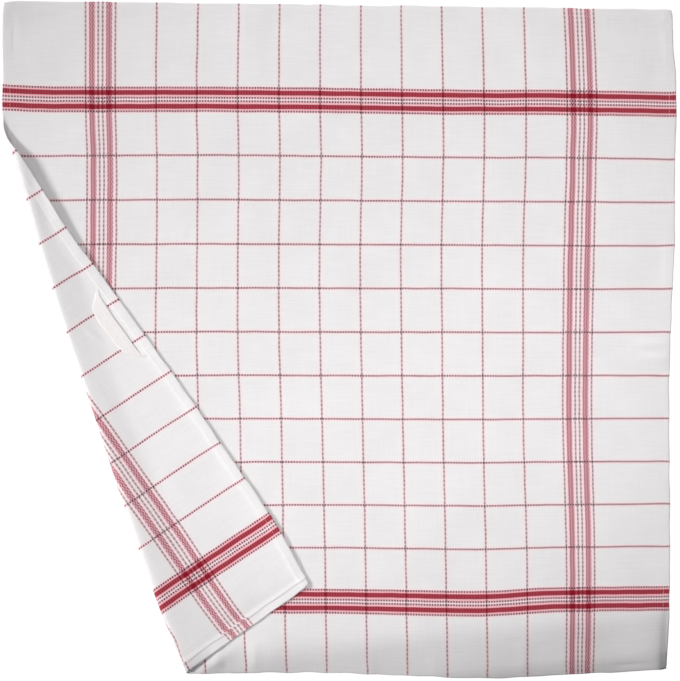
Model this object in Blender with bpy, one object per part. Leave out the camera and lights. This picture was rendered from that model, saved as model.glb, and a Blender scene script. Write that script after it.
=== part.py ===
"""Woven cotton tea towel, spread out flat with one lower corner turned over, and its tape loop.

Lengths are in metres. The towel lies on z = 0 with +Z up; seen from above, +X runs to the right
and +Y up the towel. A point of the cloth is given by how far it is across from the left hem and
how far down from the top hem, measured on the cloth itself. The cloth is first laid out on the
table, a little off square, and then the part of it left of the fold is rolled over to the right.
"""
import math

import bmesh
import bpy
from mathutils import Vector

MM = 0.001

# The cloth as it was cut and hemmed.
CLOTH_ACROSS = 650 * MM
CLOTH_DOWN = 645 * MM
CLOTH_THICK = 1.2 * MM
SIDE_HEM = 8 * MM
END_HEM = 9 * MM
HEM_EXTRA = 0.6 * MM            # what the turned-in layers add to the cloth
HEM_STEP = 1.5 * MM             # the hem's inner edge falls to the single cloth over this

# Where the cloth lies: its top left corner, were it a true square.
LAID_LEFT = -323.8 * MM
LAID_TOP = 322.9 * MM

# How far the laid cloth strays from a true square, in mm. A row is a line across the cloth at
# that distance down from the top hem; a column is that distance across from the left hem.
STRAY_ACROSS = (0, 40, 150, 190, 330, 460, 650)
STRAY_TO_RIGHT = (
    # down     0     40    150    190    330    460    650
    (0,      0.5,   0.0,   0.0,   0.0,   0.0,  -1.2,  -4.0),
    (80,    -2.0,   0.0,   0.0,   0.0,   0.0,  -0.8,  -0.5),
    (235,    1.0,   0.5,   0.0,  -0.5,  -1.5,  -1.5,  -2.4),
    (400,    0.3,   0.5,   0.8,   0.8,   0.0,   0.0,  -8.5),
    (530,    3.5,   4.0,   4.0,   4.0,   2.5,   2.0,  -7.2),
    (645,   12.0,  12.0,   9.2,   9.0,   6.3,   3.2, -11.0),
)
STRAY_DOWNWARD = (
    # down     0     40    150    190    330    460    650
    (0,     -2.5,  -3.3,  -3.3,  -3.3,   0.5,   2.4,   2.4),
    (80,    -3.6,  -1.6,  -1.5,  -1.2,   0.0,   1.5,   2.2),
    (235,    4.0,   0.5,   1.6,   1.6,   1.8,   2.4,   3.2),
    (400,    6.0,   4.5,   2.4,   2.2,   2.0,   2.0,   1.6),
    (530,    6.3,   4.5,   1.0,   0.8,   0.5,   3.0,  -1.0),
    (645,    6.0,   5.2,   0.5,  -1.5,  -2.5,   4.5,  -5.6),
)

# The bottom hem is drawn together a little at the foot of the fold.
GATHER_ACROSS = 150 * MM
GATHER_REACH = 36 * MM
GATHER_PULL = 14 * MM

# The fold: a line that leans out from the left hem and runs down to the bottom hem.
FOLD_LEAN = math.radians(17.9)
FOLD_POINT = Vector((-302.1 * MM, 140.1 * MM))
FOLD_DOWN = Vector((math.sin(FOLD_LEAN), -math.cos(FOLD_LEAN)))
FOLD_INWARD = Vector((math.cos(FOLD_LEAN), math.sin(FOLD_LEAN)))
FOLD_SHAPE = (
    # mm along the line from its point; how far the fold's edge bows inward; radius of the roll
    (-110, 0.0, 5.6),
    (-68,  0.3, 5.9),
    (-43,  2.0, 5.8),
    (-18,  1.0, 5.3),
    (0,   -0.2, 4.9),
    (46,  -1.6, 4.4),
    (138, -2.9, 2.7),
    (226, -1.8, 2.8),
    (314, -0.6, 3.7),
    (409,  0.3, 5.2),
    (457,  1.3, 6.0),
    (480,  3.4, 6.3),
    (520,  5.5, 6.5),
)
SETTLE_PER_RADIUS = 5.5         # the flap comes down to the cloth below over this many radii
FLAP_CLEAR = 0.9 * MM           # what is left between the flap and the cloth below
EDGE_LIFT = 0.9 * MM            # the flap's free hem stands this much higher again
EDGE_LIFT_REACH = 22 * MM

# Low swells where the cloth stands off the table.
SWELLS = (
    # x, y of the middle in mm; half length and half width in mm; turn in degrees; height in mm
    (306,  -12,  34, 22,   4, 1.6),
    (128, -310,  60, 26,   0, 1.4),
    (-70, -306,  34, 30,  90, 1.2),
    (-84,  302,  46, 24,  90, 1.0),
)

# How finely the cloth is divided.
ROLL_STEPS = 8
FLAP_STEPS = 8
MAIN_STEPS = 11
ROW_RUNS = (
    # from and to, mm down from the top hem; steps
    (10.5, 96, 4),
    (96, 168, 10),
    (168, 634.5, 27),
)
LEAST_FLAP = 14 * MM            # above the fold the flap's columns are spread over this

# The hanging loop: a woven tape caught under the left hem at both ends.
TAPE_WIDE = 15 * MM
TAPE_THICK = 1.0 * MM
TAPE_CLEAR = 0.35 * MM
TAPE_ARCH = 2.0 * MM            # how high the middle of the loop stands off the flap
TAPE_INNER_LIFT = 0.8 * MM      # its inner edge stands higher than its outer one
TAPE_STEPS = 30
TAPE_ROUTE = (
    # middle of the tape: mm across from the left hem and mm down from the top hem; share of width
    (10.2, 297.5, 0.55),
    (14.5, 298.8, 0.60),
    (18.5, 303.5, 0.75),
    (20.8, 312.0, 0.92),
    (21.7, 323.0, 1.00),
    (21.9, 335.0, 1.00),
    (21.9, 347.0, 1.00),
    (21.0, 357.5, 0.92),
    (18.0, 365.5, 0.75),
    (14.2, 369.6, 0.60),
    (10.2, 371.0, 0.55),
)


def clear_scene():
    for old in list(bpy.data.objects):
        bpy.data.objects.remove(old, do_unlink=True)


def ease(share):
    """0 to 1 with a level start and end."""
    share = min(1.0, max(0.0, share))
    return share * share * (3 - 2 * share)


def through(places, values, at):
    """A smooth curve through the values, read at one place."""
    at = min(places[-1], max(places[0], at))
    last = len(places) - 1
    index = max(i for i in range(last) if places[i] <= at)
    span = places[index + 1] - places[index]

    def slope(i):
        low, high = max(0, i - 1), min(last, i + 1)
        return (values[high] - values[low]) / (places[high] - places[low])

    share = (at - places[index]) / span
    rise = values[index + 1] - values[index]
    start, end = slope(index) * span, slope(index + 1) * span
    return (values[index] + start * share
            + (3 * rise - 2 * start - end) * share ** 2
            + (start + end - 2 * rise) * share ** 3)


def stray(table, across, down):
    by_row = [through(STRAY_ACROSS, row[1:], across / MM) for row in table]
    return through([row[0] for row in table], by_row, down / MM) * MM


def laid(across, down):
    """Where a point of the cloth lies on the table before the corner is turned over."""
    from_gather = math.hypot(across - GATHER_ACROSS, CLOTH_DOWN - down)
    pull = GATHER_PULL * ease(1 - from_gather / GATHER_REACH)
    x = LAID_LEFT + across + stray(STRAY_TO_RIGHT, across, down) + pull
    y = LAID_TOP - down - stray(STRAY_DOWNWARD, across, down)
    return Vector((x, y))


def fold_shape(along):
    """The fold's bow and the radius of its roll at a distance along its line."""
    places = [row[0] for row in FOLD_SHAPE]
    bow = through(places, [row[1] for row in FOLD_SHAPE], along / MM) * MM
    radius = through(places, [row[2] for row in FOLD_SHAPE], along / MM) * MM
    return bow, radius


def swell(spot):
    """How far the cloth stands off the table at a spot."""
    height = 0.0
    for x, y, half_length, half_width, turn, top in SWELLS:
        away = spot - Vector((x, y)) * MM
        turn = math.radians(turn)
        length = (away.x * math.cos(turn) + away.y * math.sin(turn)) / (half_length * MM)
        width = (away.y * math.cos(turn) - away.x * math.sin(turn)) / (half_width * MM)
        height += top * MM * ease(1 - math.hypot(length, width))
    return height


def before_bend(across, down):
    """How far a point is past the start of the bend, how far along the fold, and the shape there."""
    spot = laid(across, down) - FOLD_POINT
    along = spot.dot(FOLD_DOWN)
    bow, radius = fold_shape(along)
    return bow + radius - spot.dot(FOLD_INWARD), along, bow, radius


def middle_of_cloth(across, down):
    """The middle of the cloth's thickness, the way its face looks there, and the share turned."""
    past, along, bow, radius = before_bend(across, down)
    half = CLOTH_THICK / 2
    if past <= 0:
        spot = laid(across, down)
        return Vector((spot.x, spot.y, half + swell(spot))), Vector((0, 0, 1)), 0.0
    half_turn = math.pi * radius
    if past < half_turn:
        angle = past / radius
        offset = -radius * math.sin(angle)
        height = radius * (1 - math.cos(angle))
        face = FOLD_INWARD.to_3d() * math.sin(angle) + Vector((0, 0, math.cos(angle)))
        turned = past / half_turn
    else:
        flap = past - half_turn
        settle = SETTLE_PER_RADIUS * radius
        share = min(1.0, flap / settle)
        rest = CLOTH_THICK + FLAP_CLEAR
        drop = 2 * radius - rest
        edge = ease(1 - across / EDGE_LIFT_REACH) * EDGE_LIFT * ease(share)
        height = rest + drop * (1 - ease(share)) + edge
        shortening = 0.6 * drop * drop / settle
        offset = flap - shortening * ease(share)
        slope = drop * 6 * share * (1 - share) / settle
        face = (Vector((0, 0, -1)) - FOLD_INWARD.to_3d() * slope).normalized()
        turned = 1.0
    spot = FOLD_POINT + FOLD_DOWN * along + FOLD_INWARD * (bow + radius + offset)
    return Vector((spot.x, spot.y, half + height)), face, turned


def hem_share(across, down):
    """1 on a hem, 0 on the single cloth, falling over the hem's step."""
    side = min(across, CLOTH_ACROSS - across) - SIDE_HEM
    end = min(down, CLOTH_DOWN - down) - END_HEM
    return 1 - ease(min(side, end) / HEM_STEP)


def cloth_point(across, down, face_side):
    """A point of the towel's solid, on its face side or on its back."""
    middle, face, turned = middle_of_cloth(across, down)
    extra = HEM_EXTRA * hem_share(across, down)
    if face_side:
        return middle + face * (CLOTH_THICK / 2 + extra * (1 - turned))
    return middle - face * (CLOTH_THICK / 2 + extra * turned)


def row_places():
    """How far down the cloth's rows lie: top hem, top edge, fold and bottom hem."""
    places = [0.0, END_HEM]
    for start, end, steps in ROW_RUNS:
        places += [(start + (end - start) * step / steps) * MM for step in range(steps)]
    return places + [CLOTH_DOWN - END_HEM - HEM_STEP, CLOTH_DOWN - END_HEM, CLOTH_DOWN]


def bend_start(down):
    """How far across the bend starts on a row, found by halving."""
    low, high = 0.0, CLOTH_ACROSS / 2
    for _ in range(40):
        middle = (low + high) / 2
        if before_bend(middle, down)[0] > 0:
            low = middle
        else:
            high = middle
    return low


def column_places(down):
    """The cloth's columns on one row: left hem, flap, roll, main cloth and right hem."""
    inner = SIDE_HEM + HEM_STEP
    bend = max(bend_start(down), inner + LEAST_FLAP)
    radius = before_bend(bend, down)[3]
    room = bend - inner
    fine = min(math.pi * radius / math.cos(FOLD_LEAN) / ROLL_STEPS,
               room / (ROLL_STEPS + FLAP_STEPS))
    roll = [bend - fine * step for step in range(ROLL_STEPS, -1, -1)]
    flap_room = roll[0] - inner
    growth = flap_room - fine * FLAP_STEPS
    flap = []
    for step in range(FLAP_STEPS, 0, -1):
        share = step / FLAP_STEPS
        flap.append(roll[0] - fine * step - growth * share ** 2)
    far = CLOTH_ACROSS - inner
    main = [bend + (far - bend) * (step / MAIN_STEPS) ** 1.25 for step in range(1, MAIN_STEPS)]
    left_hem = [0.0, SIDE_HEM / 2, SIDE_HEM]
    right_hem = [far, CLOTH_ACROSS - SIDE_HEM, CLOTH_ACROSS]
    return left_hem + flap + roll + main + right_hem


def slab(columns, rows):
    """A one-layer slab whose corners stand at whole numbers: column, row, and 0 or 1 for its side."""
    blank = bmesh.new()
    bmesh.ops.create_grid(blank, x_segments=columns, y_segments=rows, size=0.5)
    bmesh.ops.translate(blank, verts=blank.verts, vec=(0.5, 0.5, 0))
    bmesh.ops.scale(blank, verts=blank.verts, vec=(columns, rows, 1))
    lifted = bmesh.ops.extrude_face_region(blank, geom=blank.faces[:], use_keep_orig=True)
    upper = [item for item in lifted["geom"] if isinstance(item, bmesh.types.BMVert)]
    bmesh.ops.translate(blank, verts=upper, vec=(0, 0, 1))
    return blank


def finish(blank, name, material, collection):
    blank.normal_update()
    bmesh.ops.recalc_face_normals(blank, faces=blank.faces)
    mesh = bpy.data.meshes.new(name)
    blank.to_mesh(mesh)
    blank.free()
    mesh.materials.append(material)
    mesh.shade_smooth()
    mesh.set_sharp_from_angle(angle=math.radians(35))
    piece = bpy.data.objects.new(name, mesh)
    collection.objects.link(piece)
    return piece


def cloth_material(name, colour, roughness):
    material = bpy.data.materials.new(name)
    material.use_nodes = True
    shader = material.node_tree.nodes["Principled BSDF"]
    shader.inputs["Base Color"].default_value = (*colour, 1)
    shader.inputs["Roughness"].default_value = roughness
    shader.inputs["Metallic"].default_value = 0
    return material


def make_towel(collection):
    rows = row_places()
    columns = [column_places(down) for down in rows]
    blank = slab(len(columns[0]) - 1, len(rows) - 1)
    for vert in blank.verts:
        column, row, side = (round(value) for value in vert.co)
        vert.co = cloth_point(columns[row][column], rows[row], side == 1)
    white_cotton = cloth_material("white_cotton", (0.83, 0.82, 0.84), 0.9)
    return finish(blank, "towel", white_cotton, collection)


def tape_middle(share):
    """The tape's middle line on the cloth, and its width, at a share of its route."""
    steps = list(range(len(TAPE_ROUTE)))
    at = share * steps[-1]
    across, down, width = (through(steps, [row[i] for row in TAPE_ROUTE], at) for i in range(3))
    return across * MM, down * MM, width * TAPE_WIDE


def tape_point(share, across_share, upper):
    """A point of the tape: share along it, -1 to 1 across it, on its lower or upper side."""
    across, down, width = tape_middle(share)
    near = 0.01
    before, after = tape_middle(max(0.0, share - near)), tape_middle(min(1.0, share + near))
    run = Vector((after[0] - before[0], after[1] - before[1])).normalized()
    sideways = Vector((run.y, -run.x)) * (-width / 2 * across_share)
    across, down = across + sideways.x, down + sideways.y
    on_flap, face, _ = middle_of_cloth(across, down)
    arch = math.sin(math.pi * share) ** 1.5
    lift = CLOTH_THICK / 2 + TAPE_CLEAR + arch * (TAPE_ARCH + TAPE_INNER_LIFT * across_share)
    return on_flap - face * (lift + (TAPE_THICK if upper else 0))


def make_loop(collection):
    across_steps = 2
    blank = slab(across_steps, TAPE_STEPS)
    for vert in blank.verts:
        column, row, side = (round(value) for value in vert.co)
        vert.co = tape_point(row / TAPE_STEPS, 2 * column / across_steps - 1, side == 1)
    cream_tape = cloth_material("cream_tape", (0.86, 0.83, 0.77), 0.85)
    return finish(blank, "hanging_loop", cream_tape, collection)


clear_scene()
tea_towel = bpy.data.collections.new("tea_towel")
bpy.context.scene.collection.children.link(tea_towel)
make_towel(tea_towel)
make_loop(tea_towel)
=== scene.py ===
"""Looks of a woven cotton tea towel that lies flat with one lower corner turned over.

Lengths are in metres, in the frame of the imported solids: the table is z = 0, +X runs to the right
and +Y up the towel. A point of the cloth is given by how far it is across from the left hem and how
far down from the top hem, measured on the cloth, and the cloth's UV map holds just that. The cloth
is first laid out on the table, a little off square, and then the part of it left of the fold is
rolled over to the right, as in the solids.
"""

import bisect
import functools
import math

import bmesh
import bpy
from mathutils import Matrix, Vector, noise


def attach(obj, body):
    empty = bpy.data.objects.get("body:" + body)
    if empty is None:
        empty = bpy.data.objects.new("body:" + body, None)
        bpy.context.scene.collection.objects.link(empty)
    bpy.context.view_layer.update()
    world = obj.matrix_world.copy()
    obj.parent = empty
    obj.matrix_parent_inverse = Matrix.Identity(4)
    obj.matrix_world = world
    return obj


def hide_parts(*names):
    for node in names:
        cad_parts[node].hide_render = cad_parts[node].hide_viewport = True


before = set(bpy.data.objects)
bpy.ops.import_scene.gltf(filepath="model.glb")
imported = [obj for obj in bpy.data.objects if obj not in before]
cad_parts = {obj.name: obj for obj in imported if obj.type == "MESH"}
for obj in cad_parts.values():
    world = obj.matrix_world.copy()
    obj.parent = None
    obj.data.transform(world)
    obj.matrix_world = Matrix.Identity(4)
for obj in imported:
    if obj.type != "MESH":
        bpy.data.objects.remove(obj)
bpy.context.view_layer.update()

MM = 0.001

# The cloth as it was cut and hemmed.
CLOTH_ACROSS = 650 * MM
CLOTH_DOWN = 645 * MM
CLOTH_THICK = 0.7 * MM
SIDE_HEM = 8 * MM
END_HEM = 9 * MM
HEM_EXTRA = 0.38 * MM           # the turned-in layers of a hem, on the back of the cloth
HEM_STEP = 1.3 * MM             # the hem's inner edge falls to the single cloth over this
TURN_IN_SHIFT = 2.6 * MM        # the stripes of a hem's turned-in layer are off by this
STITCH_IN = 1.3 * MM            # the stitching runs this far outside the hem's inner edge
STITCH_DIP = 0.03 * MM          # the thread draws the cloth in by this much
STITCH_DIP_REACH = 1.5 * MM

# Where the top left corner of the cloth would lie, were it a true square.
LAID_LEFT = -323.8 * MM
LAID_TOP = 322.9 * MM

# How far the laid cloth strays from a true square, in mm. A row is a line across the cloth at that
# distance down from the top hem; a column is that distance across from the left hem.
STRAY_ACROSS = (0, 40, 190, 305, 460, 520, 650)
STRAY_TO_RIGHT = (
    # down     0     40    190    305    460    520    650
    (0,     -1.5,   0.0,   1.0,   0.0,  -2.0,  -1.5,  -5.0),
    (92,    -2.0,   0.5,  -0.5,   0.0,   0.0,   1.0,  -0.5),
    (150,   -1.0,   2.0,   0.5,   1.0,   0.0,   0.5,  -2.0),
    (235,   -0.5,   1.5,   0.0,  -0.5,  -2.0,  -2.0,  -2.5),
    (320,   -3.0,  -0.5,  -0.5,   0.0,  -1.5,  -2.5,  -6.5),
    (400,   -1.0,  -1.0,   1.5,   2.0,  -1.0,  -2.5,  -7.5),
    (520,    1.5,   0.5,   3.0,   4.5,   1.5,   1.0,  -6.5),
    (580,    4.5,   4.0,   4.5,   5.5,   2.5,   1.5,  -7.0),
    (645,   15.5,  12.5,   8.5,   6.5,   3.5,   1.5,  -9.5),
)
STRAY_DOWNWARD = (
    # down     0     40    190    305    460    520    650
    (0,     -4.5,  -4.5,  -2.5,  -1.0,   1.0,   1.5,   3.5),
    (92,    -4.0,  -2.0,  -2.0,  -1.0,   1.0,   1.0,   3.0),
    (150,   -0.5,   0.0,  -1.0,   0.0,   1.5,   1.5,   3.0),
    (235,    5.0,   2.0,   1.0,   1.5,   2.0,   2.5,   2.5),
    (400,    8.0,   6.0,   2.0,   2.0,   2.5,   2.0,   1.5),
    (520,    7.5,   5.5,   1.5,   0.5,   2.0,   0.5,  -1.0),
    (580,    7.5,   6.0,   0.5,   0.0,   2.5,  -1.0,  -3.0),
    (645,    5.0,   4.0,   0.5,  -0.5,   5.0,   2.5,  -3.5),
)
CORNER_PULL = 0.9 * MM          # the stiff folded corners are blunted by this
CORNER_REACH = 6 * MM
HEM_ROUND = 0.5 * MM            # the folded edge of a hem is round over this
HEM_ROUND_LEAST = 0.3           # and keeps this share of its thickness
HEM_WAVER = 0.9 * MM            # the hems run a little unevenly,
HEM_WAVER_SIZE = 19 * MM        # with bumps of about this length
HEM_WAVER_REACH = 22 * MM       # that die out inside the cloth over this
HEM_WAVER_SEED = 1              # without a seed, Blender draws these bumps anew in each run

# The bottom hem is drawn together a little at the foot of the fold.
GATHER_ACROSS = 150 * MM
GATHER_REACH = 36 * MM
GATHER_PULL = 14 * MM

# The fold: a line that leans out from the left hem and runs down to the bottom hem.
FOLD_LEAN = math.radians(17.9)
FOLD_POINT = Vector((-302.1 * MM, 140.1 * MM))
FOLD_DOWN = Vector((math.sin(FOLD_LEAN), -math.cos(FOLD_LEAN)))
FOLD_INWARD = Vector((math.cos(FOLD_LEAN), math.sin(FOLD_LEAN)))
FOLD_SHAPE = (
    # mm along the line from its point; how far the fold's edge bows inward; how wide the roll is,
    # as a radius; how high it stands
    (-110, -1.2, 4.8, 9.2),
    (-68, -1.2, 4.8, 9.2),
    (-43, -0.1, 4.4, 8.6),
    (-18, -0.9, 3.9, 7.6),
    (0,   -1.2, 3.5, 6.6),
    (46,  -3.2, 3.1, 5.2),
    (138, -4.1, 2.7, 4.4),
    (226, -3.0, 2.8, 4.4),
    (314, -2.6, 3.7, 4.8),
    (409, -0.7, 5.2, 5.0),
    (457,  2.4, 6.0, 3.2),
    (480,  5.0, 6.3, 2.1),
    (520,  7.0, 6.5, 1.5),
)
SETTLE = 20 * MM                # the flap comes down to the cloth below over this
SETTLE_PER_RADIUS = 5           # and this many radii of the roll more,
SETTLE_START = 0.12             # in a straight slope with a short round start
SETTLE_END = 0.35               # and a longer round end
SLOPE_TAKES = 0.6               # the slope takes up this much of its height times its steepness
PUFF = 0.3                      # this share of the roll's height above a low one stays after that
PUFF_REACH = 3.5                # and sinks over this many times the same way
LOW_ROLL = 4.6 * MM
FLAP_CLEAR = 0.12 * MM          # what is left between the flap and the cloth below
EDGE_LIFT = (
    # how much higher again the flap's free hem stands, at places down the cloth, in mm
    (80, 3.0), (130, 5.0), (165, 5.2), (187, 4.6), (214, 4.0), (236, 3.0), (271, 1.5), (300, 0.7),
    (330, 0.8), (400, 1.0), (500, 1.2), (600, 1.0), (645, 0.4),
)
EDGE_LIFT_REACH = 18 * MM

# Low swells, ridges (a height above 0) and troughs (below 0) of the cloth that lies on the table.
LEVEL = 0.45 * MM               # the cloth away from its hems stands this high on its crimp
LEVEL_REACH = 26 * MM
TABLE_RELIEF = (
    # x, y of the middle in mm; half length and half width in mm; turn in degrees; height in mm
    (306,  -12,  34, 22,   4,  1.20),
    (128, -310,  60, 26,   0,  0.90),
    (-70, -306,  34, 30,  90,  0.90),
    (-84,  302,  46, 24,  90,  0.60),
    (-30,  -13,  62,  5,  -2, -0.40),
    (130,  -16, 110,  6,   1, -0.24),
    (300,  -11,  26,  7,   3, -1.05),
    (300,   -4,  24,  7,   3,  0.45),
    (-82,  306,  24,  5,  86, -0.35),
    (-316, 294,  30,  8,  88, -0.25),
    (268,  -91,   4,  3,   0, -0.40),
    (-118, -306, 24,  7,  90,  0.60),
    (-119, -311, 34,  9,  34,  1.10),
    (-82, -306,  26,  6,  88,  0.75),
    (-40, -312,  22,  9,  92,  0.35),
    (30,  -314,  26,  9,  90,  0.35),
    (92,  -316,  24,  8,  88,  0.40),
    (178, -312,  26, 10,  91,  0.35),
    (-282, 145,  56,  9, -63,  0.90),
    (277, -314,  26,  3,   5, -0.45),
    # a trough under the flap's lower hem, and the lower right corner, whose side hem falls away
    (-93, -271,  82, 14,  36, -0.90),
    (304, -306,  74, 50,  90,  1.70),
    (323, -306,  74, 18,  90, -2.30),
)

# Ridges and troughs of the turned-over flap, in the same columns.
FLAP_RELIEF = (
    (-285,  123, 15,  5, -55, -0.80),
    (-238,    5, 17,  4, -36,  0.65),
    (-182,  -18, 12,  4, -41,  0.40),
    (-228,  -60, 60,  9, -58,  0.30),
    (-150, -150, 70, 12, -50,  0.30),
    (-100, -238, 40, 10,  30,  0.30),
)
PUCKER = 0.22 * MM              # the sewing gathers the hems into small ripples this high,
PUCKER_SIZE = 9 * MM            # this long
PUCKER_REACH = 17 * MM          # and this far into the cloth
UNEVEN = (
    # size of the unevenness of all the cloth and how high it goes, in mm
    (95, 0.34),
    (38, 0.13),
)

# How finely the cloth is divided.
ROLL_STEPS = 18
FLAP_STEPS = 42
FLAP_GROWTH = 1.6               # the columns grow wider from the roll to the left hem,
FLAP_LEAST = 40 * MM            # and rows with less of a flap are divided as if it were so wide
MAIN_STEPS = 118
MAIN_GROWTH = 1.12              # they also grow a little wider towards the right hem
FOLD_START_DOWN = 92 * MM       # the rows are closer below this
UPPER_STEPS = 18
LOWER_STEPS = 158
HEM_PLACES = (0, 0.22, 0.7, 1.8, 3.6, 5.2)  # mm from a hem's folded edge
STITCH_PLACE = 0.8 * MM         # and this far to either side of the stitching
HALVINGS = 30                   # to find where the bend starts on a row
MERGE_REACH = 0.01 * MM         # points nearer together than this become one

# The hanging loop: a woven tape caught under the left hem at both ends.
TAPE_WIDE = 13.4 * MM
TAPE_THICK = 0.42 * MM
TAPE_CLEAR = 0.05 * MM
TAPE_ARCH = 0.36 * MM           # how high the middle of the loop stands off the flap
TAPE_ARCH_POWER = 1.5           # above 1, the arch starts gently at both ends
TAPE_INNER_LIFT = 0.34 * MM     # its inner edge stands higher than its outer one
TAPE_SINK = 0.75 * MM           # its ends dip by this under the hem
TAPE_SINK_REACH = 4 * MM
TAPE_EDGE = 0.3                 # its edges are round over this share of its half width
TAPE_EDGE_LEAST = 0.25          # and keep this share of its thickness
TAPE_WEAVE_LONG = 86.9 * MM     # its herringbone is drawn for this length
TAPE_NEAR = 0.01                # its direction is taken between points this share of it away
TAPE_STEPS = 96
TAPE_STEPS_ACROSS = 12
TAPE_ROUTE = (
    # middle of the tape: mm across from the left hem and mm down from the top hem; share of width
    (7.0,  294.5, 0.20),
    (10.8, 296.5, 0.20),
    (13.8, 299.2, 0.26),
    (15.6, 303.0, 0.50),
    (17.6, 307.0, 0.76),
    (19.3, 311.5, 0.95),
    (20.4, 318.0, 1.00),
    (20.8, 330.0, 1.00),
    (20.8, 345.0, 1.00),
    (20.5, 353.5, 0.97),
    (19.2, 359.5, 0.78),
    (17.0, 365.0, 0.48),
    (14.6, 369.0, 0.26),
    (11.0, 371.5, 0.20),
    (7.0,  373.5, 0.20),
)

# The sewing thread.
STITCH_PITCH = 3.0 * MM
THREAD_RADIUS = 0.12 * MM
THREAD_RISE = 0.9               # a stitch rises by this many radii of its thread
THREAD_SUNK = 1.1               # from this many radii deep in the cloth,
THREAD_NIPPED = 0.55            # where it is drawn thin to this share
THREAD_FULLNESS = 0.6           # below 1, a stitch stays high for most of its length
THREAD_RINGS = 6                # in one stitch
THREAD_AROUND = 6

# The woven stripes, in mm on the cloth. Both groups of upright stripes are alike about the
# cloth's middle, and so are both groups of level stripes about their own middles.
WARP_MIDDLE = 325.0
WARP_GROUP = 232.6              # each group's middle, from the cloth's middle
WARP_GROUP_THIN = (14.35, 2.1)  # from the group's middle
WARP_GROUP_WIDE = 8.2
WARP_PITCH = 39.65              # between the thin lines of the check
WARP_LAST = 190.0               # no thin lines further than this from the middle
WEFT_GROUPS = (92.3, 575.4)     # down from the top hem
WEFT_GROUP_THIN = (11.2, 1.6)
WEFT_GROUP_WIDE = 6.6
WEFT_FIRST = 145.3
WEFT_PITCH = 42.0
WEFT_RANGE = (334.3, 200.0)     # middle and half of the stretch with thin lines
WARP_FLOAT = 4.3                # length of one over and under of the red warp
WEFT_FLOAT = 2.66
YARN_PITCH = 1.33               # the real one is half that, too fine to show
WHITE = "#ebe8e9"
WARP_ZIGZAG = 0.22              # the wide red warp stripes sway by this
CHEVRON_SLANT = 0.8             # and their zigzag climbs this much across for 1 down

# How far the red of a stripe goes from its middle, in mm: all of it shows up to the first
# distance and none past the second.
THIN_WARP = (0.42, 1.3)
THIN_WEFT = (0.5, 1.3)
WIDE_WARP = (2.3, 3.3)
WIDE_WARP_CORE = (2.4, 3.0)
BAND = (2.0, 2.6)

# How far each stripe tints the white yarns beside it, in the same way.
THIN_TINT = (1.3, 3.8)
THIN_WEFT_TINT = (0.5, 1.6)
WIDE_WARP_TINT = (3.0, 6.0)
BAND_TINT = (2.6, 6.4)

# The least and the most red that shows where white yarns pass over the red ones.
DASHES = (0.5, 1.0)             # along a thin warp line
DOTS = (0.05, 1.15)             # along a thin weft line; above 1, so that the dots are full
CHEVRON = (0.4, 1.0)            # in a wide warp stripe
BAND_TICKS = (0.9, 1.0)         # along a band

# The yarns, in mm.
WANDER = 1.1                    # they wander by up to half of this,
WANDER_LONG = 26                # in bends about this long
DYE_LONG = 18                   # size of the places that took the dye better or worse
SLUB_WIDE = 1.7                 # thick places, about one drawn yarn wide
WEFT_SLUB_LONG = 28
WARP_SLUB_LONG = 34
CLOUD_LONG = 40                 # size of the places that washed out more or less

# What these places do to the cloth. Between the two values of a noise, it goes from its least to
# its most.
DYE_NOISE = (0.35, 0.65)
DYE = (0.85, 1.0)               # how red the red yarns are
WARP_SLUBS = 0.6                # the warp's thick places count this much beside the weft's
SHADE_NOISE = (0.8, 1.8)        # thick places and washed-out ones together
SHADE = (0.94, 1.035)           # how pale the cloth is
ROUGH_NOISE = (0.6, 1.4)        # thick places alone
ROUGH = (0.82, 0.94)
RED_HIGH = 0.6                  # red yarns stand this much higher, where the weave swings by 1
SLUB_HIGH = 1.5                 # up and down, and thick places this much
RELIEF_HIGH = 0.06 * MM         # and this is how high 1 is

# The faint line along the lower hem's stitching on the back, partly painted shade between the
# stitches, in mm.
SEAM_WIDE = (0.2, 1.2)          # full up to the first distance from it, and none past the second
SEAM_END = (150, 175)           # across from the left hem, it fades out between these

# The tape's herringbone, in mm, and the thread's twist.
RIB_PITCH = 1.6
RIB_RUN = 3.75                  # the slant turns round after this
FUZZ_LONG = 2.5                 # size of the fuzzy places between the ribs
RIB_SHOWS = 0.35                # how much of a rib shows beside the fuzz
TAPE_RELIEF_HIGH = 0.12 * MM
THREAD_TWIST = 900.0            # scale of a wave texture whose bands are 0.35 mm apart

# The kinds of shader node that are used most.
MATHS, VECTOR, RANGE = "ShaderNodeMath", "ShaderNodeVectorMath", "ShaderNodeMapRange"
NOISE, MIX = "ShaderNodeTexNoise", "ShaderNodeMix"

# The picture: the view's height at the table, and what its middle looks at.
VIEW_HIGH = 658.5 * MM
VIEW_MIDDLE = Vector((0.58 * MM, -0.58 * MM, 0))
LENS = 150
SENSOR = 36

# The studio, in metres where nothing else is said.
FLOOR_SIDE = 8
FLOOR_LOW = 0.1 * MM            # it lies this far below the cloth
CARD_HIGH = 250 * MM            # the card that shades the lower hem a little
CARD_WIDE = 500 * MM
CARD_LONG = 3
CARD_EDGE = -306 * MM
CARD_TURN = math.radians(6)
SUN_SIDE = math.radians(158)    # where the low light comes from, counted from +X,
SUN_UP = math.radians(22)       # how high it stands
SUN_SPREAD = math.radians(10)   # and how wide it looks
SUN_POWER = 3.7
POOLS = (
    # x and y of its middle in mm; how far it reaches in mm; power
    (34,    122,  630, 181),
    (238,  -365,  630,  56),
    (-996, -553, 1189, 168),
)
POOL_LAMP = 0.15                # radius of the lamp over a pool
LAMP_FAR = 3                    # how far off every lamp is
ROOM_LIGHT = 0.04


# ---- the shape of the cloth -------------------------------------------------------------------

def ease(share):
    """0 to 1 with a level start and end."""
    share = min(1.0, max(0.0, share))
    return share * share * (3 - 2 * share)


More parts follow.
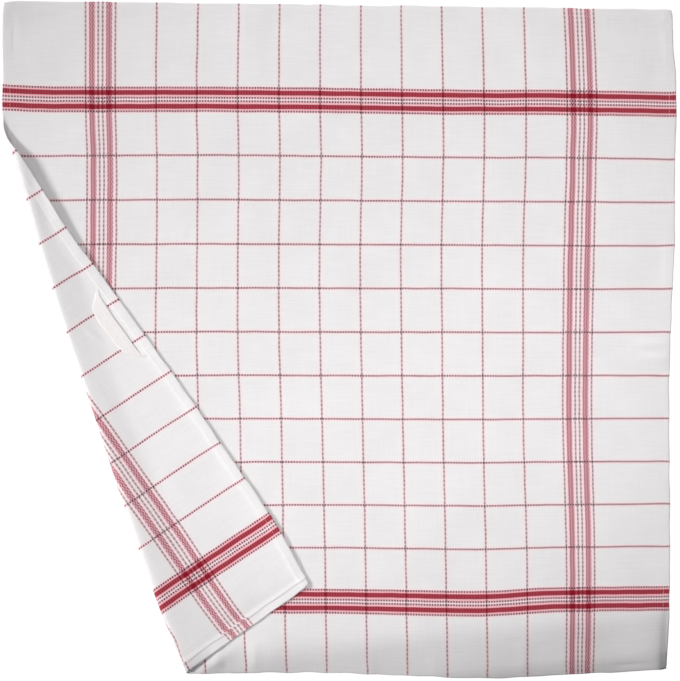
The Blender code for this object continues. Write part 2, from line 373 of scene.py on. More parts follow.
def through(places, values, at):
    """A smooth curve through the values, read at one place."""
    at = min(places[-1], max(places[0], at))
    last = len(places) - 1
    index = min(last - 1, bisect.bisect_right(places, at) - 1)
    span = places[index + 1] - places[index]

    def slope(i):
        low, high = max(0, i - 1), min(last, i + 1)
        return (values[high] - values[low]) / (places[high] - places[low])

    share = (at - places[index]) / span
    rise = values[index + 1] - values[index]
    start, end = slope(index) * span, slope(index + 1) * span
    return (values[index] + start * share
            + (3 * rise - 2 * start - end) * share ** 2
            + (start + end - 2 * rise) * share ** 3)


@functools.cache
def stray_of_row(table, down):
    """A row of the table at a distance down the cloth."""
    downs, *columns = zip(*table)
    return [through(downs, column, down / MM) for column in columns]


def stray(table, across, down):
    """How far a point strays, by one of the two tables."""
    return through(STRAY_ACROSS, stray_of_row(table, down), across / MM) * MM


@functools.cache
def laid(across, down):
    """Where a point of the cloth lies on the table before the corner is turned over."""
    from_gather = math.hypot(across - GATHER_ACROSS, CLOTH_DOWN - down)
    pull = GATHER_PULL * ease(1 - from_gather / GATHER_REACH)
    x = LAID_LEFT + across + stray(STRAY_TO_RIGHT, across, down) + pull
    y = LAID_TOP - down - stray(STRAY_DOWNWARD, across, down)
    edge = min(across, CLOTH_ACROSS - across, down, CLOTH_DOWN - down)
    bumps = noise.noise_vector(Vector((across, down, 0)) / HEM_WAVER_SIZE)
    spot = Vector((x, y)) + bumps.to_2d() * (HEM_WAVER * ease(1 - edge / HEM_WAVER_REACH))
    inward = Vector((CLOTH_ACROSS / 2 - across, down - CLOTH_DOWN / 2))
    from_corner = math.hypot(CLOTH_ACROSS / 2 - abs(inward.x), CLOTH_DOWN / 2 - abs(inward.y))
    return spot + inward.normalized() * (CORNER_PULL * ease(1 - from_corner / CORNER_REACH))


def fold_shape(along):
    """The fold's bow, the radius of its roll and its height at a distance along its line."""
    places, *columns = zip(*FOLD_SHAPE)
    return [through(places, column, along / MM) * MM for column in columns]


def relief(table, spot):
    """The height of a table's ridges and troughs at a spot."""
    height = 0.0
    for x, y, half_length, half_width, turn, top in table:
        right, up = spot.x / MM - x, spot.y / MM - y
        if math.hypot(right, up) < max(half_length, half_width):
            cos, sin = math.cos(math.radians(turn)), math.sin(math.radians(turn))
            length = (right * cos + up * sin) / half_length
            width = (up * cos - right * sin) / half_width
            height += top * MM * ease(1 - math.hypot(length, width))
    return height


def unevenness(across, down):
    """Small rises and falls all over the cloth."""
    height = 0.0
    for size, top in UNEVEN:
        height += top * MM * noise.noise(Vector((across, down, size * MM)) / (size * MM))
    edge = min(across, CLOTH_ACROSS - across, down, CLOTH_DOWN - down)
    ripple = noise.noise(Vector((across, down, 0)) / PUCKER_SIZE)
    return height + PUCKER * ripple * ease(1 - edge / PUCKER_REACH)


def hem_places(across, down):
    """How far inside the nearest side hem's and end hem's inner edges a point is."""
    side = min(across, CLOTH_ACROSS - across) - SIDE_HEM
    end = min(down, CLOTH_DOWN - down) - END_HEM
    return side, end


def hem_extra(across, down):
    """What the hems add to the back of the cloth; where two meet at a corner both do."""
    side, end = hem_places(across, down)
    return HEM_EXTRA * (2 - ease(side / HEM_STEP) - ease(end / HEM_STEP))


def stitch_dip(across, down):
    """How far the thread draws the cloth in."""
    side, end = hem_places(across, down)
    nearest = min(abs(side + STITCH_IN), abs(end + STITCH_IN))
    return STITCH_DIP * ease(1 - nearest / STITCH_DIP_REACH)


def hem_bed(across, down):
    """How far the hems, which lie underneath, hold up the cloth beside them."""
    side, end = hem_places(across, down)
    return HEM_EXTRA * (ease(1 - side / LEVEL_REACH) ** 2 + ease(1 - end / LEVEL_REACH) ** 2)


def stand_off(spot, across, down):
    """How far the lying cloth's underside stands off the table."""
    side, end = hem_places(across, down)
    level = LEVEL * ease(min(side, end) / LEVEL_REACH)
    height = level + relief(TABLE_RELIEF, spot) + unevenness(across, down)
    return max(0.0, height + hem_bed(across, down) - hem_extra(across, down))


def settled(share):
    """How much of its fall the flap has made at a share of the way, and how steeply it falls."""
    steep = 1 / (1 - SETTLE_START / 2 - SETTLE_END / 2)
    if share < SETTLE_START:
        fallen = steep * share ** 2 / (2 * SETTLE_START)
    elif share < 1 - SETTLE_END:
        fallen = steep * (share - SETTLE_START / 2)
    else:
        fallen = 1 - steep * (1 - share) ** 2 / (2 * SETTLE_END)
    return fallen, steep * min(1.0, share / SETTLE_START, (1 - share) / SETTLE_END)


@functools.cache
def before_bend(across, down):
    """How far a point is past the start of the bend, how far along the fold, and the shape there."""
    spot = laid(across, down) - FOLD_POINT
    along = spot.dot(FOLD_DOWN)
    bow, radius, high = fold_shape(along)
    return bow + radius - spot.dot(FOLD_INWARD), along, bow, radius, high


def by_fold(along, inward):
    """The spot on the table at a distance along the fold's line and beside it."""
    return FOLD_POINT + FOLD_DOWN * along + FOLD_INWARD * inward


def in_roll(across, down):
    """A point of the roll: where it lies, its height and the way the cloth's face looks."""
    past, along, bow, radius, high = before_bend(across, down)
    angle, turned = past / radius, past / (math.pi * radius)
    start = laid(across, down) + FOLD_INWARD * past
    lying = stand_off(start, across, down) * ease(1 - turned)
    under = (hem_extra(across, down) + lying) * (1 - turned)
    face = FOLD_INWARD.to_3d() * (math.sin(angle) * high / (2 * radius))
    face = (face + Vector((0, 0, math.cos(angle)))).normalized()
    spot = by_fold(along, bow + radius - radius * math.sin(angle))
    return spot, high / 2 * (1 - math.cos(angle)) + under, face


def on_flap(across, down):
    """A point of the flap: where it lies, its height and the way the cloth's face looks."""
    past, along, bow, radius, high = before_bend(across, down)
    flap = past - math.pi * radius
    settle = SETTLE + SETTLE_PER_RADIUS * radius
    share = min(1.0, flap / settle)
    fallen, fall = settled(share)
    rest = CLOTH_THICK + FLAP_CLEAR + LEVEL
    puff = PUFF * max(0.0, high - LOW_ROLL)
    drop = high - rest - puff
    shortening = SLOPE_TAKES * drop * drop / settle
    spot = by_fold(along, bow + radius + flap - shortening * ease(share))
    below = relief(TABLE_RELIEF, spot) + relief(FLAP_RELIEF, spot) + unevenness(across, down)
    edge = ease(1 - across / EDGE_LIFT_REACH) * through(*zip(*EDGE_LIFT), down / MM) * MM
    height = rest + drop * (1 - fallen) + edge * ease(share)
    height += max(-LEVEL, below) * ease(2 * share)
    height += puff * (1 - ease(flap / (PUFF_REACH * settle)))
    slope = drop * fall / settle
    return spot, height, (Vector((0, 0, -1)) - FOLD_INWARD.to_3d() * slope).normalized()


@functools.cache
def middle_of_cloth(across, down):
    """The middle of the cloth's thickness, and the way its face looks there."""
    past, _, _, radius, _ = before_bend(across, down)
    if past <= 0:
        spot = laid(across, down)
        height = hem_extra(across, down) + stand_off(spot, across, down)
        face = Vector((0, 0, 1))
    elif past < math.pi * radius:
        spot, height, face = in_roll(across, down)
    else:
        spot, height, face = on_flap(across, down)
    return Vector((spot.x, spot.y, CLOTH_THICK / 2 + height)), face


def rounded(inside, least):
    """The share of its thickness that a round edge has: all of it from 1 inside the edge on."""
    inside = min(1.0, inside)
    return max(least, math.sqrt(1 - (1 - inside) ** 2))


def cloth_sides(across, down):
    """The points on the face and on the back of the cloth at one place."""
    middle, face = middle_of_cloth(across, down)
    hem = hem_extra(across, down)
    middle = middle - face * (hem / 2)
    edge = min(across, CLOTH_ACROSS - across, down, CLOTH_DOWN - down)
    half = (CLOTH_THICK + hem) / 2 * rounded(edge / HEM_ROUND, HEM_ROUND_LEAST)
    reach = half - stitch_dip(across, down)
    return middle + face * reach, middle - face * reach


# ---- how the cloth is divided -----------------------------------------------------------------

def hem_run(hem):
    """Places from a hem's folded edge to just inside its inner edge."""
    stitch = hem - STITCH_IN
    places = [place * MM for place in HEM_PLACES]
    places += [stitch - STITCH_PLACE, stitch, stitch + STITCH_PLACE, hem, hem + HEM_STEP]
    return places


def row_places():
    """How far down the cloth's rows lie."""
    top = hem_run(END_HEM)
    bottom = [CLOTH_DOWN - place for place in reversed(top)]
    start, end = top[-1], bottom[0]
    upper = [start + (FOLD_START_DOWN - start) * step / UPPER_STEPS for step in range(1, UPPER_STEPS)]
    lower = [FOLD_START_DOWN + (end - FOLD_START_DOWN) * step / LOWER_STEPS
             for step in range(LOWER_STEPS)]
    return top + upper + lower + bottom


def bend_start(down):
    """How far across the bend starts on a row, found by halving."""
    low, high = 0.0, CLOTH_ACROSS / 2
    for _ in range(HALVINGS):
        middle = (low + high) / 2
        if before_bend(middle, down)[0] > 0:
            low = middle
        else:
            high = middle
    return low


def column_places(down):
    """The cloth's columns on one row: left hem, flap, roll, main cloth and right hem."""
    left_hem = hem_run(SIDE_HEM)
    inner = left_hem[-1]
    bend = max(bend_start(down), inner + FLAP_LEAST)
    radius = before_bend(bend, down)[3]
    room = bend - inner
    fine = min(math.pi * radius / math.cos(FOLD_LEAN) / ROLL_STEPS,
               room / (ROLL_STEPS + FLAP_STEPS))
    roll = [bend - fine * step for step in range(ROLL_STEPS, -1, -1)]
    flap_room = roll[0] - inner
    growth = flap_room - fine * FLAP_STEPS
    flap = []
    for step in range(FLAP_STEPS - 1, 0, -1):
        share = step / FLAP_STEPS
        flap.append(roll[0] - fine * step - growth * share ** FLAP_GROWTH)
    right_hem = [CLOTH_ACROSS - place for place in reversed(left_hem)]
    far = right_hem[0]
    main = [bend + (far - bend) * (step / MAIN_STEPS) ** MAIN_GROWTH
            for step in range(1, MAIN_STEPS)]
    return left_hem + flap + roll + main + right_hem


def numbered_grid(columns, rows):
    """A flat grid whose corners stand at whole numbers: column and row."""
    blank = bmesh.new()
    bmesh.ops.create_grid(blank, x_segments=columns, y_segments=rows, size=0.5)
    bmesh.ops.translate(blank, verts=blank.verts, vec=(0.5, 0.5, 0))
    bmesh.ops.scale(blank, verts=blank.verts, vec=(columns, rows, 1))
    return blank


def slab(columns, rows):
    """A one-layer slab whose corners stand at whole numbers: column, row, and 0 or 1 for its side."""
    blank = numbered_grid(columns, rows)
    lifted = bmesh.ops.extrude_face_region(blank, geom=blank.faces[:], use_keep_orig=True)
    upper = [item for item in lifted["geom"] if isinstance(item, bmesh.types.BMVert)]
    bmesh.ops.translate(blank, verts=upper, vec=(0, 0, 1))
    return blank


def as_object(blank, name):
    """Puts what was made of a blank into the scene."""
    mesh = bpy.data.meshes.new(name)
    blank.to_mesh(mesh)
    blank.free()
    piece = bpy.data.objects.new(name, mesh)
    bpy.context.scene.collection.objects.link(piece)
    return piece


def finish(blank, name, material, slot, *nodes):
    """Makes the object, which rides on the one body and stands for the CAD nodes it replaces."""
    blank.normal_update()
    bmesh.ops.recalc_face_normals(blank, faces=blank.faces)
    piece = as_object(blank, name)
    piece.data.materials.append(material)
    piece.data.shade_smooth()
    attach(piece, "root")
    if nodes:
        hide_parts(*nodes)
    return piece


def write_uv(blank, places):
    """Gives each corner of the mesh the place on the cloth that belongs to its vertex."""
    layer = blank.loops.layers.uv.new("cloth")
    for polygon in blank.faces:
        for loop in polygon.loops:
            loop[layer].uv = places[loop.vert]


def shown_place(across, down, side):
    """The place in the pattern that shows there. On the back, the hem at the foot shows its
    turned-in layer, whose stripes don't quite meet those of the cloth."""
    end = hem_places(across, down)[1]
    turned_in = side == 0 and down > CLOTH_DOWN / 2 and end < HEM_STEP / 2
    return across + TURN_IN_SHIFT * turned_in, down


def make_towel(material):
    """The cloth with its four hems, as one closed sheet."""
    rows = row_places()
    columns = [column_places(down) for down in rows]
    sides = [[cloth_sides(across, down) for across in columns[row]] for row, down in enumerate(rows)]
    blank = slab(len(columns[0]) - 1, len(rows) - 1)
    places = {}
    for vert in blank.verts:
        column, row, side = (round(value) for value in vert.co)
        vert.co = sides[row][column][0 if side == 1 else 1]
        places[vert] = shown_place(columns[row][column], rows[row], side)
    write_uv(blank, places)
    return finish(blank, "towel_cloth", material, "cotton_cloth", "towel")


def tape_middle(share):
    """The tape's middle line on the cloth, and its width, at a share of its route."""
    steps = list(range(len(TAPE_ROUTE)))
    at = share * steps[-1]
    across, down, width = (through(steps, [row[i] for row in TAPE_ROUTE], at) for i in range(3))
    return across * MM, down * MM, width * TAPE_WIDE


def tape_point(share, across_share, upper):
    """A point of the tape: share along it, -1 to 1 across it, on its lower or upper side."""
    across, down, width = tape_middle(share)
    before = tape_middle(max(0.0, share - TAPE_NEAR))
    after = tape_middle(min(1.0, share + TAPE_NEAR))
    run = Vector((after[0] - before[0], after[1] - before[1])).normalized()
    sideways = Vector((run.y, -run.x)) * (-width / 2 * across_share)
    across, down = across + sideways.x, down + sideways.y
    beside_hem, face = middle_of_cloth(max(across, SIDE_HEM + HEM_STEP), down)
    spot = middle_of_cloth(across, down)[0]
    arch = math.sin(math.pi * share) ** TAPE_ARCH_POWER
    lift = CLOTH_THICK / 2 + TAPE_CLEAR + arch * (TAPE_ARCH + TAPE_INNER_LIFT * across_share)
    lift -= TAPE_SINK * ease(1 - (across - SIDE_HEM) / TAPE_SINK_REACH)
    thick = TAPE_THICK * rounded((1 - abs(across_share)) / TAPE_EDGE, TAPE_EDGE_LEAST)
    middle = Vector((spot.x, spot.y, beside_hem.z)) - face * (lift + TAPE_THICK / 2)
    return middle - face * (thick / 2 if upper else -thick / 2)


def make_loop(material):
    """The tape of the hanging loop."""
    blank = slab(TAPE_STEPS_ACROSS, TAPE_STEPS)
    places = {}
    for vert in blank.verts:
        column, row, side = (round(value) for value in vert.co)
        share = row / TAPE_STEPS
        across_share = math.sin(math.pi * (column / TAPE_STEPS_ACROSS - 0.5))
        vert.co = tape_point(share, across_share, side == 1)
        places[vert] = (across_share * TAPE_WIDE / 2, share * TAPE_WEAVE_LONG)
    write_uv(blank, places)
    return finish(blank, "loop_tape", material, "cotton_tape", "hanging_loop")


def thread_run(start, end, on_back):
    """One thread of a seam: a round cord that stands on the cloth and dives in between stitches."""
    run = end - start
    stitches = round(run.length / STITCH_PITCH)
    rings = stitches * THREAD_RINGS
    cord = numbered_grid(rings, THREAD_AROUND)
    side = 1 if on_back else 0
    run_steps = [start + run * (ring / rings) for ring in range(rings + 1)]
    spots = [cloth_sides(*step)[side] for step in run_steps]
    for vert in cord.verts:
        ring, turn = round(vert.co.x), 2 * math.pi * round(vert.co.y) / THREAD_AROUND
        before, after = spots[max(0, ring - 1)], spots[min(rings, ring + 1)]
        face = middle_of_cloth(*run_steps[ring])[1]
        out = -face if on_back else face
        beside = (after - before).cross(out).normalized()
        rise = abs(math.sin(math.pi * ring / THREAD_RINGS)) ** THREAD_FULLNESS
        lift = THREAD_RADIUS * (THREAD_RISE * rise - THREAD_SUNK)
        radius = THREAD_RADIUS * (THREAD_NIPPED + (1 - THREAD_NIPPED) * rise)
        radial = beside * math.cos(turn) + out * math.sin(turn)
        vert.co = spots[ring] + out * lift + radial * radius
    bmesh.ops.remove_doubles(cord, verts=cord.verts, dist=MERGE_REACH)
    bmesh.ops.holes_fill(cord, edges=cord.edges, sides=THREAD_AROUND)
    mesh = bpy.data.meshes.new("thread_run")
    cord.to_mesh(mesh)
    cord.free()
    return mesh


def make_stitching(material):
    """Lockstitch along all four hems, on the face and on the back."""
    blank = bmesh.new()
    side_line, end_line = SIDE_HEM - STITCH_IN, END_HEM - STITCH_IN
    far_side, far_end = CLOTH_ACROSS - side_line, CLOTH_DOWN - end_line
    lines = (
        ((side_line, end_line), (side_line, far_end)),
        ((far_side, end_line), (far_side, far_end)),
        ((side_line, end_line), (far_side, end_line)),
        ((side_line, far_end), (far_side, far_end)),
    )
    for start, end in lines:
        for on_back in (False, True):
            run = thread_run(Vector(start), Vector(end), on_back)
            blank.from_mesh(run)
            bpy.data.meshes.remove(run)
    return finish(blank, "hem_stitching", material, "cotton_cloth")


# ---- materials --------------------------------------------------------------------------------

def colour(code):
    """An sRGB hex colour as the linear one that a shader takes."""
    values = [int(code[i:i + 2], 16) / 255 for i in (1, 3, 5)]
    linear = [v / 12.92 if v <= 0.04045 else ((v + 0.055) / 1.055) ** 2.4 for v in values]
    return (*linear, 1.0)


def add(tree, kind, values=(), out=0, stops=(), **settings):
    """Adds a node with its settings, fills its sockets and returns one output. The values are
    numbers or other nodes' outputs, in the order of the sockets or by the sockets' names. The
    stops are the place and colour of a colour ramp's two ends."""
    node = tree.nodes.new(kind)
    for field, value in settings.items():
        setattr(node, field, value)
    pairs = values.items() if isinstance(values, dict) else enumerate(values)
    for socket, value in pairs:
        if isinstance(value, bpy.types.NodeSocket):
            tree.links.new(value, node.inputs[socket])
        else:
            node.inputs[socket].default_value = value
    for number, (place, code) in enumerate(stops):
        stop = node.color_ramp.elements[number]
        stop.position, stop.color = place, colour(code)
    return node.outputs[out]


def new_material(name):
    """A material, its nodes and its shader."""
    material = bpy.data.materials.new(name)
    material.use_nodes = True
    return material, material.node_tree, material.node_tree.nodes["Principled BSDF"]


def place_in_mm(tree):
    """The place on the cloth or along the tape, which the piece's own UV map holds."""
    place = add(tree, "ShaderNodeUVMap", uv_map="cloth")
    return add(tree, VECTOR, {0: place, "Scale": 1 / MM}, operation="SCALE")


def distance(tree, place, middle):
    """How far a place is from a middle line, to either side."""
    gap = add(tree, MATHS, (place, middle), operation="SUBTRACT")
    return add(tree, MATHS, (gap,), operation="ABSOLUTE")


def wave(tree, place, pitch, low, high):
    """Swings between low and high once in each pitch."""
    turn = add(tree, MATHS, (place, 2 * math.pi / pitch), operation="MULTIPLY")
    swing = add(tree, MATHS, (turn,), operation="SINE")
    return add(tree, RANGE, (swing, -1.0, 1.0, low, high))


def red_yarn(tree, away, full, none, over):
    """How much red shows at a distance from a stripe's middle: all of it up to one distance, none
    beyond a larger one, and less where the white yarns pass over."""
    yarn = add(tree, RANGE, (away, full, none, 1.0, 0.0), interpolation_type="SMOOTHSTEP")
    return add(tree, MATHS, (yarn, over), operation="MULTIPLY")


def nearest_line(tree, place, middle, half, first, pitch, group, group_lines):
    """How far the nearest thin line is, of the check and of the groups that border it."""
    from_first = add(tree, MATHS, (place, first), operation="SUBTRACT")
    in_check = add(tree, MATHS, (from_first, pitch / 2), operation="PINGPONG")
    outside = add(tree, MATHS, (distance(tree, place, middle), half), operation="SUBTRACT")
    nearest = add(tree, MATHS, (in_check, outside), operation="MAXIMUM")
    for line in group_lines:
        nearest = add(tree, MATHS, (nearest, distance(tree, group, line)), operation="MINIMUM")
    return nearest


def woven_check(tree, across, down, strength):
    """The colour of the yarn-dyed check at a place, and how much red yarn lies there."""
    warp_group = distance(tree, distance(tree, across, WARP_MIDDLE), WARP_GROUP)
    weft_groups = [distance(tree, down, middle) for middle in WEFT_GROUPS]
    weft_group = add(tree, MATHS, weft_groups, operation="MINIMUM")
    warp_thin = nearest_line(tree, across, WARP_MIDDLE, WARP_LAST, WARP_MIDDLE - WARP_PITCH / 2,
                             WARP_PITCH, warp_group, WARP_GROUP_THIN)
    weft_thin = nearest_line(tree, down, *WEFT_RANGE, WEFT_FIRST, WEFT_PITCH,
                             weft_group, WEFT_GROUP_THIN)
    thin = add(tree, MATHS, (warp_thin, weft_thin), operation="MINIMUM")
    zigzag = wave(tree, down, WARP_FLOAT, -WARP_ZIGZAG, WARP_ZIGZAG)
    swaying = add(tree, MATHS, (warp_group, zigzag), operation="ADD")
    warp_wide = distance(tree, swaying, WARP_GROUP_WIDE)
    weft_wide = distance(tree, weft_group, WEFT_GROUP_WIDE)

    # The white yarns that pass over the red ones break them into dashes, dots and a zigzag.
    dashes = add(tree, MATHS, (wave(tree, down, WARP_FLOAT, *DASHES), strength),
                 operation="MULTIPLY")
    dots = add(tree, MATHS, (wave(tree, across, WEFT_FLOAT, *DOTS), strength),
               operation="MULTIPLY")
    chevron = add(tree, MATHS, (down, WARP_FLOAT / 2), operation="PINGPONG")
    chevron = add(tree, MATHS, (chevron, CHEVRON_SLANT, across), operation="MULTIPLY_ADD")
    chevron = wave(tree, chevron, WEFT_FLOAT, *CHEVRON)
    ticks = wave(tree, across, WEFT_FLOAT, *BAND_TICKS)
    thin_warp = red_yarn(tree, warp_thin, *THIN_WARP, dashes)
    thin_weft = red_yarn(tree, weft_thin, *THIN_WEFT, dots)
    wide_warp = red_yarn(tree, warp_wide, *WIDE_WARP, chevron)
    band = red_yarn(tree, weft_wide, *BAND, ticks)

    # Where red warp crosses a solid red band there is no white yarn left.
    wide_core = red_yarn(tree, warp_wide, *WIDE_WARP_CORE, 1.0)
    all_warp = add(tree, MATHS, (thin_warp, wide_core), operation="MAXIMUM")
    crossing = add(tree, MATHS, (all_warp, band), operation="MULTIPLY")

    # White yarns beside the red ones are tinted by them, most of all beside the solid bands.
    layers = (
        (red_yarn(tree, thin, *THIN_TINT, 1.0), "MIX", "#f5e3e5"),
        (red_yarn(tree, weft_thin, *THIN_WEFT_TINT, 1.0), "MIX", "#f2cdd4"),
        (red_yarn(tree, warp_wide, *WIDE_WARP_TINT, 1.0), "MIX", "#f7d9de"),
        (red_yarn(tree, weft_wide, *BAND_TINT, 1.0), "MIX", "#f5b6bf"),
        (thin_warp, "MULTIPLY", "#8c7980"),
        (thin_weft, "MULTIPLY", "#4a2834"),
        (wide_warp, "MULTIPLY", "#a95869"),
        (band, "MULTIPLY", "#a2364a"),
        (crossing, "MIX", "#880622"),
    )
    cloth = add(tree, "ShaderNodeRGB")
    cloth.default_value = colour(WHITE)
    for share, blend, code in layers:
        cloth = add(tree, MIX, {0: share, 6: cloth, 7: colour(code)}, out=2,
                    data_type="RGBA", blend_type=blend)
    red = add(tree, MATHS, (thin_warp, thin_weft), operation="ADD")
    red = add(tree, MATHS, (red, wide_warp), operation="ADD")
    return cloth, add(tree, MATHS, (red, band), operation="ADD")


def woven_cotton():
    """Bleached cotton, plain woven with yarn-dyed red stripes and washed: matt, a soft tooth of
    crossing yarns, a little hairiness that lifts the light at the edges, and stripes that are
    broken by the white yarns passing over them."""
    material, tree, shader = new_material("woven_cotton")
    place = place_in_mm(tree)

    # Yarns wander by a fraction of a millimetre, and take the dye a little unevenly.
    wander = add(tree, NOISE, {"Vector": place, "Scale": 1 / WANDER_LONG, "Detail": 2.0},
                 out="Color")
    wander = add(tree, VECTOR, (wander, (0.5, 0.5, 0.5)), operation="SUBTRACT")
    wander = add(tree, VECTOR, {0: wander, "Scale": WANDER}, operation="SCALE")
    yarn_place = add(tree, VECTOR, (place, wander), operation="ADD")
    split = add(tree, "ShaderNodeSeparateXYZ", (yarn_place,)).node
    across, down = split.outputs["X"], split.outputs["Y"]
    strength = add(tree, NOISE, {"Vector": place, "Scale": 1 / DYE_LONG, "Detail": 2.0})
    strength = add(tree, RANGE, (strength, *DYE_NOISE, *DYE))
    dyed, red = woven_check(tree, across, down, strength)

    # On the back, a faint darker line is painted along the lower hem: partly the needle holes, partly
    # painted shade between the stitches.
    seam = distance(tree, down, (CLOTH_DOWN - END_HEM + STITCH_IN) / MM)
    seam = add(tree, RANGE, (seam, *SEAM_WIDE, 1.0, 0.0), interpolation_type="SMOOTHSTEP")
    shown = add(tree, RANGE, (across, *SEAM_END, 1.0, 0.0))
    seam = add(tree, MATHS, (seam, shown), operation="MULTIPLY")
    dyed = add(tree, MIX, {0: seam, 6: dyed, 7: colour("#e3dedd")}, out=2,
               data_type="RGBA", blend_type="MULTIPLY")

    # Thick and thin places in the yarn, long along each yarn and one yarn wide.
    slubs = []
    for stretch in ((1 / WEFT_SLUB_LONG, 1 / SLUB_WIDE, 1.0),
                    (1 / SLUB_WIDE, 1 / WARP_SLUB_LONG, 1.0)):
        spot = add(tree, "ShaderNodeMapping", {"Vector": place, "Scale": stretch})
        slubs.append(add(tree, NOISE, {"Vector": spot, "Scale": 1.0, "Detail": 2.0}))
    slub = add(tree, MATHS, (slubs[1], WARP_SLUBS, slubs[0]), operation="MULTIPLY_ADD")
    cloud = add(tree, NOISE, {"Vector": place, "Scale": 1 / CLOUD_LONG, "Detail": 3.0})
    shade = add(tree, MATHS, (slub, cloud), operation="ADD")
    shade = add(tree, RANGE, (shade, *SHADE_NOISE, *SHADE))
    toned = add(tree, VECTOR, {0: dyed, "Scale": shade}, operation="SCALE")
    tree.links.new(toned, shader.inputs["Base Color"])

    # The crossing yarns, their slubs, and the rib of the denser red bands.
    weave = add(tree, MATHS, (wave(tree, across, YARN_PITCH, -1.0, 1.0),
                              wave(tree, down, YARN_PITCH, -1.0, 1.0)), operation="MULTIPLY")
    height = add(tree, MATHS, (red, RED_HIGH, weave), operation="MULTIPLY_ADD")
    height = add(tree, MATHS, (slub, SLUB_HIGH, height), operation="MULTIPLY_ADD")
    bump = add(tree, "ShaderNodeBump",
               {"Strength": 0.5, "Distance": RELIEF_HIGH, "Height": height}, out="Normal")
    tree.links.new(bump, shader.inputs["Normal"])
    rough = add(tree, RANGE, (slub, *ROUGH_NOISE, *ROUGH))
    tree.links.new(rough, shader.inputs["Roughness"])
    shader.inputs["IOR"].default_value = 1.5
    shader.inputs["Specular IOR Level"].default_value = 0.12
    shader.inputs["Sheen Weight"].default_value = 0.06
    shader.inputs["Sheen Roughness"].default_value = 0.6
    return material


def twill_tape():
    """Unbleached cotton tape woven in a fine herringbone: cream, matt, with firm ribbed edges."""
    material, tree, shader = new_material("twill_tape")
    place = place_in_mm(tree)
    split = add(tree, "ShaderNodeSeparateXYZ", (place,)).node
    across, along = split.outputs["X"], split.outputs["Y"]
    slant = add(tree, MATHS, (across, RIB_RUN), operation="PINGPONG")
    slant = add(tree, MATHS, (slant, along), operation="ADD")
    twill = wave(tree, slant, RIB_PITCH, 0.0, 1.0)
    fuzz = add(tree, NOISE, {"Vector": place, "Scale": 1 / FUZZ_LONG, "Detail": 3.0})
    shade = add(tree, MATHS, (twill, RIB_SHOWS, fuzz), operation="MULTIPLY_ADD")
    dyed = add(tree, "ShaderNodeValToRGB", (shade,), stops=((0.25, "#e7e1e0"), (0.85, "#efebea")))
    tree.links.new(dyed, shader.inputs["Base Color"])
    bump = add(tree, "ShaderNodeBump",
               {"Strength": 0.6, "Distance": TAPE_RELIEF_HIGH, "Height": shade}, out="Normal")
    tree.links.new(bump, shader.inputs["Normal"])
    shader.inputs["Roughness"].default_value = 0.86
    shader.inputs["Specular IOR Level"].default_value = 0.15
    shader.inputs["Sheen Weight"].default_value = 0.05
    return material


def sewing_thread():
    """White spun thread: a little glossier than the cloth, twisted, with paler and darker bands
    painted along it as the light and shade that the twist breaks into.
    """
    material, tree, shader = new_material("sewing_thread")
    place = add(tree, "ShaderNodeTexCoord", out="Object")
    # Paler and darker bands along the twist: painted light and shade on the plies.
    twist = add(tree, "ShaderNodeTexWave",
                {"Vector": place, "Scale": THREAD_TWIST, "Distortion": 2.0}, out="Color")
    dyed = add(tree, "ShaderNodeValToRGB", (twist,), stops=((0.0, "#e3e0e0"), (1.0, "#eeebeb")))
    tree.links.new(dyed, shader.inputs["Base Color"])
    shader.inputs["Roughness"].default_value = 0.6
    return material


def studio_white():
    """A white table that glows by itself, so that it stays paler than the cloth and hardly shows
    a shadow."""
    material, tree, shader = new_material("studio_white")
    shader.inputs["Base Color"].default_value = colour("#303030")
    shader.inputs["Roughness"].default_value = 0.9
    shader.inputs["Emission Color"].default_value = (1, 1, 1, 1)
    shader.inputs["Emission Strength"].default_value = 1.0
    return material


# ---- the studio -------------------------------------------------------------------------------

def board(name, across, down):
    """A flat rectangle that belongs to the studio."""
    blank = bmesh.new()
    bmesh.ops.create_grid(blank, x_segments=1, y_segments=1, size=0.5)
    bmesh.ops.scale(blank, verts=blank.verts, vec=(across, down, 1))
    return as_object(blank, name)


def make_floor():
    """The table, which neither lights the cloth nor touches it."""
    floor = board("studio_floor", FLOOR_SIDE, FLOOR_SIDE)
    floor.data.materials.append(studio_white())
    floor.location.z = -FLOOR_LOW
    floor.visible_diffuse = False


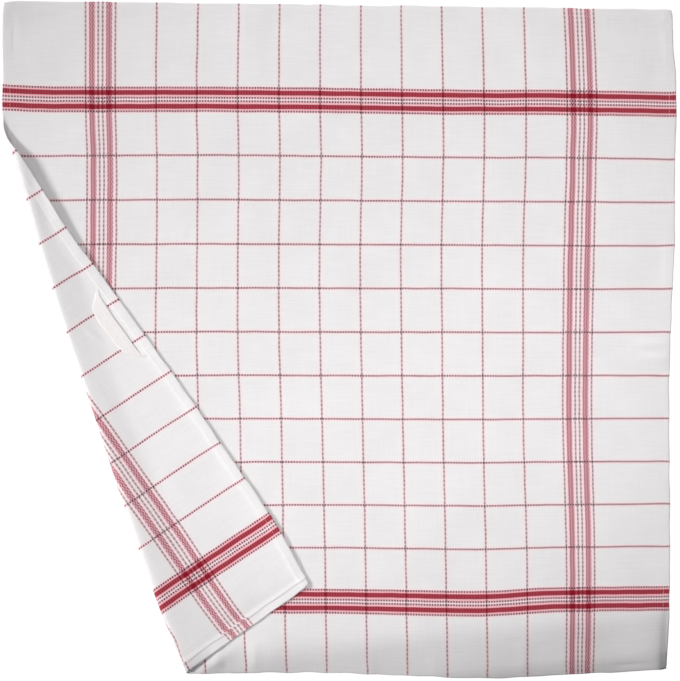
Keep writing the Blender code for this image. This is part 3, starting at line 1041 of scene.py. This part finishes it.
def make_card():
    """A card held over the near edge of the table, out of sight: it shades the lower hem."""
    card = board("studio_card", CARD_LONG, CARD_WIDE)
    card.location = (0, CARD_EDGE - CARD_WIDE / 2, CARD_HIGH)
    card.rotation_euler.z = CARD_TURN
    card.visible_camera = card.visible_diffuse = card.visible_glossy = False


def make_light(name, kind, place, aim, power, **settings):
    """A lamp at one place that is turned towards another."""
    lamp = bpy.data.lights.new(name, kind)
    lamp.energy = power
    for field, value in settings.items():
        setattr(lamp, field, value)
    light = bpy.data.objects.new(name, lamp)
    light.location = place
    light.rotation_euler = (Vector(aim) - Vector(place)).to_track_quat("-Z", "Y").to_euler()
    bpy.context.scene.collection.objects.link(light)


def make_studio():
    """A low soft light from the upper left and three pools of light from overhead."""
    make_floor()
    make_card()
    level = math.cos(SUN_UP)
    towards = Vector((math.cos(SUN_SIDE) * level, math.sin(SUN_SIDE) * level, math.sin(SUN_UP)))
    make_light("low_light", "SUN", towards * LAMP_FAR, (0, 0, 0), SUN_POWER, angle=SUN_SPREAD)
    for number, (x, y, reach, power) in enumerate(POOLS):
        spot = Vector((x * MM, y * MM, 0))
        lamp = spot + Vector((0, 0, LAMP_FAR))
        make_light(f"top_light_{number}", "SPOT", lamp, spot, power, shadow_soft_size=POOL_LAMP,
                   spot_size=2 * math.atan(reach * MM / LAMP_FAR), spot_blend=1.0)
    world = bpy.data.worlds.new("studio")
    world.use_nodes = True
    room = world.node_tree.nodes["Background"]
    room.inputs["Color"].default_value = (1, 1, 1, 1)
    room.inputs["Strength"].default_value = ROOM_LIGHT
    bpy.context.scene.world = world
    bpy.context.scene.view_settings.view_transform = "Standard"


def make_camera():
    """A long lens straight above the towel."""
    lens = bpy.data.cameras.new("camera")
    lens.lens = LENS
    lens.sensor_width = SENSOR
    camera = bpy.data.objects.new("camera", lens)
    camera.location = VIEW_MIDDLE + Vector((0, 0, VIEW_HIGH * LENS / SENSOR))
    bpy.context.scene.collection.objects.link(camera)
    bpy.context.scene.camera = camera


noise.seed_set(HEM_WAVER_SEED)
make_camera()
towel = make_towel(woven_cotton())
loop = make_loop(twill_tape())
stitching = make_stitching(sewing_thread())
make_studio()
